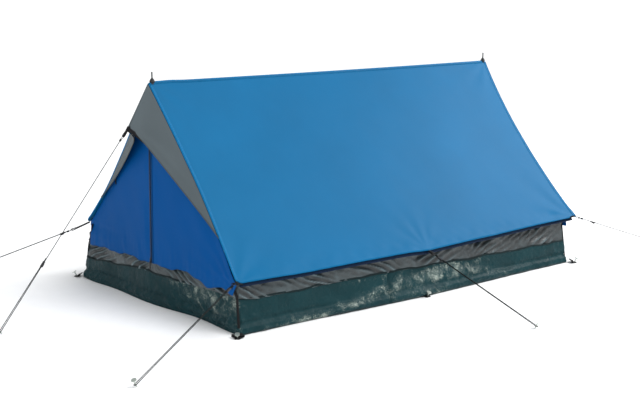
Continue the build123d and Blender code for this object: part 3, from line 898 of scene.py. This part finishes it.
def mesh_place(u, v):
    """The ventilation mesh, gathered above the tub's rim, and how far each point stands out on a fold."""
    x0, y0, _, _ = ring_point(u, HALF_W, HALF_L)
    low = rim_height(x0, y0) - 0.004
    end = smooth(0.965, 0.99, np.abs(y0) / HALF_L) * (np.abs(x0) < HALF_W - 0.002)
    at_side = smooth(0.93, 0.995, np.abs(x0) / HALF_W)
    side_top = 0.272 - 0.020 * smooth(0.3, 0.9, np.abs(y0) / HALF_L)
    high = 0.212 + (side_top - 0.212) * at_side
    left_front = (x0 < 0) * smooth(0.3, 1.0, -y0 / HALF_L) * at_side
    z = low + (high - low) * v
    x, y, nx, ny = ring_point(u, HALF_W - WALL_LEAN_SIDE * z, HALF_L - WALL_LEAN_END * z)
    run = u * RING_LENGTH
    # long folds sweep down and away from the front corners and fade in and out
    toward = np.where((y0 < 0) == (x0 > 0), 1.0, -1.0)
    bend = 0.011 * ripples(run, z * 2, 87, longest=0.42, shortest=0.13)
    slant = 0.40 * run + 0.92 * z * toward + bend
    fade = np.clip(0.60 + 0.75 * ripples(run, z * 3, 89, longest=0.34, shortest=0.09), 0.15, 1.3)
    folds = ((1 - np.abs(np.sin(PI * slant / 0.027))) ** 1.4 - 0.35) * fade
    small = creases(run, z * 1.4, 83, waves=5, longest=0.09, shortest=0.018, direction=1.2, spread=1.6)
    folds += 0.50 * (small - 0.42)
    slack = np.sin(PI * np.clip(v, 0.03, 1)) ** 0.7
    from_corner = np.maximum(HALF_W - np.abs(x0), HALF_L - np.abs(y0))
    calm = 0.15 + 0.85 * smooth(0.0, 0.07, from_corner)
    out = (0.014 * folds + 0.003 * ripples(run, z, 85, longest=0.4, shortest=0.1)) * slack * calm
    px, py = x + nx * out, y + ny * out
    # at the ends it stays behind the door and the rear wall
    limit = END_PLANE - 0.006 + 0.012 * (1 - smooth(0.1, 0.6, v))
    py = np.where(end > 0, np.sign(py) * np.minimum(np.abs(py), limit), py)
    px = px - 0.036 * left_front * smooth(0.0, 1.0, v) * np.sign(px)
    return px, py, z, 0.45 + 0.8 * folds


def mesh_points(u, v):
    return mesh_place(u, v)[:3]


def mesh_painted_light(u, v):
    """Painted light for the mesh's material, from 0 to 1: it follows how far each point stands out on a fold,
    giving painted highlights on the folds and painted shade in the hollows, and it is lowered near the top as
    painted shadow under the eave and lowered towards the rear.
    """
    _, y, _, fold = mesh_place(u, v)
    return np.clip(fold - 0.5 * smooth(0.55, 0.9, v) - 0.22 * smooth(0.0, 0.6, y), 0, 1)


vent = ring_sheet("vent_mesh", mesh_points, 0.15, 0.006, 0.006, mesh_cloth, mesh_painted_light)
thicken(vent, 0.0007, -1.0)
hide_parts("mesh_strip_front", "mesh_strip_rear", "mesh_strip_left", "mesh_strip_right")


# ------------------------------------------------------------------ awning
AWNING_REACH = 0.780  # how far down the roof's edge the awning is sewn
PEAK_PULL = 0.049  # how far the guy draws out the peak


def awning_place(u, v):
    """u from the left foot over the peak to the right foot, v from the roof's edge to the free lower edge."""
    s = 2 * u - 1
    side, out = np.where(s < 0, -1.0, 1.0), np.abs(s)
    ax, ay, az = roof_base(side, AWNING_REACH * out, np.full_like(s, -1.0))
    ay = ay - 0.003
    az = az - 0.004
    foot_x, foot_y, foot_z = roof_base(side, np.full_like(s, AWNING_REACH), np.full_like(s, -1.0))
    foot_x = np.abs(foot_x)
    # the free edge: a webbing-bound hollow curve that turns sharply where the guy draws out the peak
    fx = foot_x * out
    peak = np.exp(-fx / 0.011)
    fy = foot_y - 0.003 + (-1.073 - foot_y) * (1 - out) ** 1.6 - PEAK_PULL * peak
    fz = 0.734 + (foot_z - 0.734) * out + 0.024 * peak - 0.010 * np.sin(PI * out)
    soft_peak = np.exp(-fx / (0.011 + 0.035 * (1 - v)))
    y = ay + (fy + PEAK_PULL * peak - PEAK_PULL * soft_peak - ay) * v
    sewn_x = np.abs(ax) - 0.006 * (side < 0) * smooth(0.0, 0.1, out)
    x = sewn_x + (fx - sewn_x) * v
    z = az + (fz - az) * v
    slack = np.sin(PI * np.clip(v, 0, 1)) * smooth(0.0, 0.1, out) * smooth(0.0, 0.15, 1 - out)
    folds = 0.0022 * np.cos(10 * np.arctan2(1 - v, out + 0.06)) * bump(0.0, 0.45, out)
    return side * x, y - (0.001 + folds) * slack, z


awning = cloth("awning", awning_place, (1.50, 0.22), 0.0060, awning_cloth, thickness=0.0008)
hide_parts("awning_left", "awning_right")


def edge_binding(u, v):
    """Tape folded over the awning's free edge."""
    x, y, z = awning_place(0.002 + 0.996 * u, np.ones_like(u) * 0.985)
    turn = 2 * PI * v
    return x, y - 0.0018 * np.cos(turn), z + 0.0036 * np.sin(turn)


binding = cloth("awning_edge_binding", edge_binding, (1.50, 0.016), 0.0035, awning_trim, thickness=0)


def peak_patch(u, v):
    """The black webbing sewn over the awning's peak."""
    reach = 0.024 + 0.062 * v**2
    x, y, z = awning_place((1 + (2 * u - 1) * reach) / 2, 0.925 + 0.090 * v)
    return x, y - 0.0016, z + 0.0004


patch = cloth("awning_peak_patch", peak_patch, (0.09, 0.045), 0.003, webbing, thickness=0.0014)
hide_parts("awning_tip_band")


# ------------------------------------------------------------------ zip
ZIP_FACE = -DOOR_FACE - 0.0012  # the y of the door's face at the zip
ZIP_LOW, ZIP_HIGH = SILL - 0.004, 0.812
COIL_PITCH = 0.0030


def zip_tape(side):
    def place(u, v):
        z = ZIP_LOW + (ZIP_HIGH - ZIP_LOW) * v
        return side * (0.0010 + 0.0115 * u), ZIP_FACE - 0.0010 + 0.0006 * u, z

    return place


def coil_bead(side, z):
    """One loop of the coil: a small rounded bead that reaches over the middle."""
    rings = []
    for x, radius in ((0.0034, 0.0008), (0.0016, 0.0011), (-0.0007, 0.0008)):
        centre = Vector((side * x, ZIP_FACE - 0.0030, z))
        rings.append(circle(centre, radius, Vector((0, -1, 0)), UP * 0.9, 6))
    return skin(rings)


for side, word in SIDES:
    body = f"door_leaf_{word}"
    tape = cloth(f"zip_tape_cloth_{word}", zip_tape(side), (0.0115, 0.63), 0.0028, zip_cloth, body=body)
    half_step = 0.5 if side > 0 else 0.0
    count = int((ZIP_HIGH - ZIP_LOW) / COIL_PITCH)
    beads = [coil_bead(side, ZIP_LOW + COIL_PITCH * (i + half_step)) for i in range(count)]
    coil = join_meshes(f"zip_coil_{word}", beads, zip_coil, body=body)
    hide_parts(f"zip_tape_{word}")


# ------------------------------------------------------------------ webbing tabs at the guys
GUYS = {
    "awning": ((0, -1.124, 0.756), (0, -1.710)),
    "front_left": ((-0.617, -1.018, 0.232), (-0.860, -1.630)),
    "front_right": ((0.617, -1.018, 0.232), (0.860, -1.630)),
    "side_right": ((0.638, 0, 0.208), (1.250, 0)),
    "rear_right": ((0.617, 1.018, 0.232), (0.860, 1.630)),
    "rear_left": ((-0.617, 1.018, 0.232), (-0.860, 1.630)),
    "side_left": ((-0.638, 0, 0.208), (-1.250, 0)),
}
ROPE_HEIGHT, PEG_LEAN, TAB_LENGTH = 0.011, np.radians(28), 0.026


def guy_direction(name):
    start, peg = GUYS[name]
    start = Vector(start)
    away = (Vector((*peg, 0)) - Vector((start.x, start.y, 0))).normalized()
    bight = Vector((*peg, ROPE_HEIGHT)) + away * (ROPE_HEIGHT * np.tan(PEG_LEAN))
    return start, (bight - start).normalized(), Vector((-away.y, away.x, 0))


def guy_tab(name):
    """A strap sewn to the cloth that runs out, round its ring and back."""
    start, along, across = guy_direction(name)
    up = across.cross(along)
    up = up if up.z > 0 else -up
    ring = start + along * (TAB_LENGTH + 0.0012)
    inside = start - along * 0.030 if name != "awning" else start + Vector((0, 0.012, 0.016))
    if name.startswith("rear"):
        inside.z -= 0.017
    if name == "front_left":
        inside = Vector((-0.566, -0.985, 0.262))
    if name == "front_right":
        start, inside = Vector((0.619, -1.016, 0.2185)), Vector((0.600, -0.985, 0.207))
    path = [
        inside + up * 0.0016, start + up * 0.0020, ring + up * 0.0034, ring + along * 0.0034,
        ring - up * 0.0034, start - up * 0.0020, inside - up * 0.0016,
    ]
    line = curve_points(path, 6)
    rings = []
    for point, tangent in zip(line, tangents(line)):
        normal = across.cross(tangent).normalized()
        rings.append(strap_ring(point, across, normal, 0.0115, 0.0020, flank=0.46, edge=0.3))
    return skin(rings)


tabs = [guy_tab(name) for name in GUYS]
guy_webbing = join_meshes("guy_tab_webbing", tabs, webbing)
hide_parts("guy_tabs")


# ------------------------------------------------------------------ ground loops
LOOP_LENGTH, LOOP_HOLE = 0.046, 0.034
CORNERS = ((1, -1), (-1, -1), (1, 1), (-1, 1))


def ground_loop(ox, oy):
    """Two legs that close round the peg, and the stitched patch that joins them at the tub's edge."""
    out = Vector((ox, oy, 0)).normalized()
    aside = Vector((-out.y, out.x, 0))
    root = Vector((HALF_W * ox, HALF_L * oy, 0)) + out * 0.002
    at_corner = oy != 0
    far = root + out * LOOP_LENGTH
    hole = root + out * LOOP_HOLE
    straps = []
    for hand in (1, -1):
        begin = root + aside * (hand * 0.020) - out * (-0.018 if at_corner else 0.006)
        path = [
            begin + UP * 0.013,
            begin + out * 0.008 + UP * 0.006,
            hole + aside * (hand * 0.0075) - out * 0.006 + UP * 0.0022,
            hole + aside * (hand * 0.0068) + out * 0.003 + UP * 0.0016,
            far - out * 0.003 + aside * (hand * 0.002) + UP * 0.0016,
        ]
        straps.append(swept(curve_points(path, 6), UP, 0.012 if at_corner else 0.015, 0.0016))
    base = root - out * (-0.010 if at_corner else 0.012)
    path = [
        base + UP * 0.016,
        base + out * 0.014 + UP * 0.009,
        root + out * 0.022 + UP * 0.0042,
        root + out * 0.030 + UP * 0.0034,
    ]
    straps.append(swept(curve_points(path, 5), UP, 0.034 if at_corner else 0.052, 0.0020))
    return straps


def corner_strap(cx, cy):
    """A strap down one corner, from the eave to the tub's foot."""
    front, front_left = cy < 0, cx < 0 and cy < 0
    top = 0.262 if front_left else (0.222 if cx * cy < 0 else 0.240)
    rim = rim_height(cx * HALF_W, cy * HALF_L)
    inset_x = 0.0083 if front_left else (0.0038 if front else 0.0053)
    inset_y = 0.0038 if front else 0.0053
    reach = 0.0099 if front_left else 0.018
    line = []
    for z in np.linspace(top, 0.008, 12):
        lean = 0.036 * float(smooth(rim, 0.25, z)) * front_left
        forward = reach * float(smooth(rim, 0.19, z)) * front
        x = HALF_W - WALL_LEAN_SIDE * z - lean - inset_x
        y = HALF_L - WALL_LEAN_END * z - inset_y + forward
        line.append(Vector((cx * x, cy * y, z)))
    return swept(line, Vector((cx, cy, 0)).normalized(), 0.010 if front else 0.016, 0.0045)


loops = [strap for corner in (*CORNERS, (1, 0), (-1, 0)) for strap in ground_loop(*corner)]
loop_webbing = join_meshes("ground_loop_webbing", loops, webbing)
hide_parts("ground_loops")
corner_webbing = join_meshes("corner_webbing", [corner_strap(*corner) for corner in CORNERS], webbing)


# ------------------------------------------------------------------ toggles for the rolled-back door
TOGGLE_HALF = ((0.0135, 0.0012), (0.0125, 0.0026), (0.0100, 0.0034), (0.0030, 0.0030), (0.0015, 0.0020))
TOGGLE_PROFILE = tuple((-at, r) for at, r in TOGGLE_HALF) + TOGGLE_HALF[::-1]


def toggle_at(side, word, x, z, stand):
    """A toggle bar and its strap, on the door's face."""
    wall = end_cloth(side, -1)
    _, _, half = wall(np.array(1.0), np.array(z))
    _, face_y, _ = wall(np.array(x / float(half)), np.array(z))
    face = Vector((side * x, float(face_y) - 0.0012, z))
    shape = ((0.0006, 0.024), (0.0030, 0.010), (0.0046, 0), (0.0030, -0.010), (0.0006, -0.024))
    line = curve_points([face + Vector((0, -out, up)) for out, up in shape], 5)
    band = swept(line, Vector((0, -1, 0)), 0.007, 0.0012)
    strap_piece = join_meshes(f"toggle_strap_{word}", [band], webbing)
    middle = face + Vector((0, -stand, 0))
    rings = [circle(middle + Vector((at, 0, 0)), r, Vector((0, 1, 0)), UP, 12) for at, r in TOGGLE_PROFILE]
    bar = join_meshes(f"toggle_bar_{word}", [skin(rings)], black_plastic)
    return strap_piece, bar


right_strap, right_bar = toggle_at(1.0, "right", 0.262, 0.552, 0.0058)
toggle_at(-1.0, "left", 0.300, 0.500, 0.0085)
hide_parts("toggle_loops")
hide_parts("door_toggles")


# ------------------------------------------------------------------ ridge caps
CAP_BASE = RIDGE - 0.0035
CAP_PROFILE = (  # radius, and height above the base
    (0.0105, 0.0), (0.0118, 0.001), (0.0120, 0.0032), (0.0108, 0.0046), (0.0100, 0.0075),
    (0.0088, 0.0112), (0.0066, 0.0142), (0.0044, 0.0158), (0.0036, 0.0190), (0.0033, 0.0192),
)
for word in ("front", "rear"):
    low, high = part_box(f"ridge_cap_{word}")
    foot = Vector(((low.x + high.x) / 2, (low.y + high.y) / 2, CAP_BASE))
    rings = [circle(foot + UP * up, r, Vector((1, 0, 0)), Vector((0, 1, 0)), 32) for r, up in CAP_PROFILE]
    cap = join_meshes(f"pole_cap_{word}", [skin(rings)], black_rubber)
    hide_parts(f"ridge_cap_{word}")

# ------------------------------------------------------------------ CAD nodes that stay
FINISHES = (  # the first word found in a node's name decides
    ("_spike", spike_steel), ("_foot", black_rubber), ("pole_", pole_steel), ("ridge_cap", black_rubber),
    ("ridge_eyelet", black_plastic), ("pegs", peg_steel), ("line_slider", black_plastic),
    ("guy_rings", black_plastic), ("door_toggles", black_plastic), ("zip_tape", zip_coil),
    ("zip_", zip_metal),
)
for name, node in nodes.items():
    node.data.materials.clear()
    node.data.materials.append(next((finish for word, finish in FINISHES if word in name), webbing))

# ------------------------------------------------------------------ guy ropes
ROPE = 0.003
ROUTES = {
    "awning": [
        (-0.0026, -1.1498, 0.7236), (0.0055, -1.7199, 0.0059),
        (-0.0055, -1.7199, 0.0059), (-0.0028, -1.5059, 0.2752),
    ],
    "front_left": [
        (-0.6291, -1.0555, 0.2189), (-0.8593, -1.6432, 0.0089),
        (-0.8695, -1.6391, 0.0089), (-0.6353, -1.0567, 0.2178),
    ],
    "front_right": [
        (0.6339, -1.0535, 0.2189), (0.8695, -1.6391, 0.0089),
        (0.8593, -1.6432, 0.0089), (0.6302, -1.0587, 0.2178),
    ],
    "side_right": [
        (0.6774, 0.0026, 0.1954), (1.2620, 0.0055, 0.0090),
        (1.2620, -0.0055, 0.0090), (0.6828, -0.0028, 0.1937),
    ],
    "rear_right": [
        (0.6292, 1.0554, 0.2189), (0.8593, 1.6432, 0.0089),
        (0.8695, 1.6391, 0.0089), (0.6486, 1.0902, 0.2058),
    ],
}


def straight_near(start, end, distance):
    """A point a short way along a straight run, which keeps the run straight up to its bend."""
    return start + (end - start).normalized() * distance


def guy_rope(name, route):
    """Down from the ring, round the peg and back up through the line slider."""
    start, turn_in, turn_out, end = (Vector(p) for p in route)
    above_in = straight_near(turn_in, start, 6 * ROPE)
    above_out = straight_near(turn_out, end, 6 * ROPE)
    middle = (above_in + above_out) / 2
    closing = 0.0 if name == "awning" else 0.55
    near_in, near_out = above_in.lerp(middle, closing), above_out.lerp(middle, closing)
    rope = cord(f"rope_{name}", [start, near_in, turn_in, turn_out, near_out, end], ROPE / 2, rope_cord)
    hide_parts(f"guy_rope_{name}")


def knot(name, route):
    """Three turns of the rope round itself, where it is tied to its ring."""
    start, far = Vector(route[0]), Vector(route[1])
    along = (far - start).normalized()
    side = along.cross(UP).normalized()
    up = side.cross(along)
    turns, steps = 3.2, 60
    line = []
    for i in range(steps + 1):
        centre = start + along * (0.0015 + 0.0105 * i / steps)
        angle = 2 * PI * turns * i / steps
        line.append(centre + (side * np.cos(angle) + up * np.sin(angle)) * 0.0029)
    rings = []
    for point, tangent in zip(line, tangents(line)):
        outward = (point - start - along * (point - start).dot(along)).normalized()
        rings.append(circle(point, 0.0016, outward, tangent.cross(outward), 8))
    piece = join_meshes(f"rope_knot_{name}", [skin(rings)], rope_cord)


for name, route in ROUTES.items():
    guy_rope(name, route)
    knot(name, route)


# ------------------------------------------------------------------ stage, light and camera
def stage():
    size = 90.0
    corners = [(-size, -size, 0), (size, -size, 0), (size, size, 0), (-size, size, 0)]
    pale = plain("pale_floor", (0.93, 0.93, 0.93), 0.8, grain=40.0, depth=0.0001, variation=0.01)
    ground = new_object("floor", mesh_from("floor", corners, [(0, 1, 2, 3)]), pale, body=None)
    ground.location.z = -0.0006

    world = bpy.data.worlds.new("soft_white")
    world.use_nodes = True
    background = world.node_tree.nodes["Background"]
    background.inputs["Color"].default_value = (0.96, 0.98, 1.0, 1)
    background.inputs["Strength"].default_value = 0.68
    bpy.context.scene.world = world


def add_light(name, kind, toward, power):
    """A light whose beam comes from the direction toward."""
    light = bpy.data.lights.new(name, kind)
    light.energy = power
    piece = bpy.data.objects.new(name, light)
    piece.rotation_euler = Vector(toward).to_track_quat("Z", "Y").to_euler()
    bpy.context.scene.collection.objects.link(piece)
    return piece, light


def sun(name, toward, angle, power):
    _, light = add_light(name, "SUN", toward, power)
    light.angle = np.radians(angle)


def area_light(name, place, target, size, power):
    piece, light = add_light(name, "AREA", Vector(place) - Vector(target), power)
    light.shape, light.size = "DISK", size
    piece.location = place


def camera():
    """The fitted camera: its yaw, pitch and roll are in degrees."""
    yaw, pitch, roll = (np.radians(a) for a in (-49.82, -10.79, 0.55))
    forward = Vector((np.sin(yaw) * np.cos(pitch), np.cos(yaw) * np.cos(pitch), np.sin(pitch)))
    level = Vector((np.cos(yaw), -np.sin(yaw), 0.0))
    upright = level.cross(forward)
    right = level * np.cos(roll) + upright * np.sin(roll)
    up = upright * np.cos(roll) - level * np.sin(roll)
    data = bpy.data.cameras.new("camera")
    data.sensor_width, data.lens = 36.0, 36.0 * 1261 / 640
    data.clip_end = 100.0
    piece = bpy.data.objects.new("camera", data)
    turn = Matrix((right, up, -forward)).transposed().to_4x4()
    piece.matrix_world = Matrix.Translation((4.43, -3.826, 1.451)) @ turn
    bpy.context.scene.collection.objects.link(piece)
    bpy.context.scene.camera = piece


stage()
sun("key", (0.55, 0.25, 0.80), 40.0, 2.2)
area_light("rear", (1.3, 3.6, 2.6), (0.2, 0.6, 0.5), 1.8, 95)
area_light("fill", (2.5, -6.0, 2.6), (0, -0.6, 0.2), 0.22, 42)
camera()
scene = bpy.context.scene
scene.view_settings.view_transform = "Standard"
scene.view_settings.look = "None"
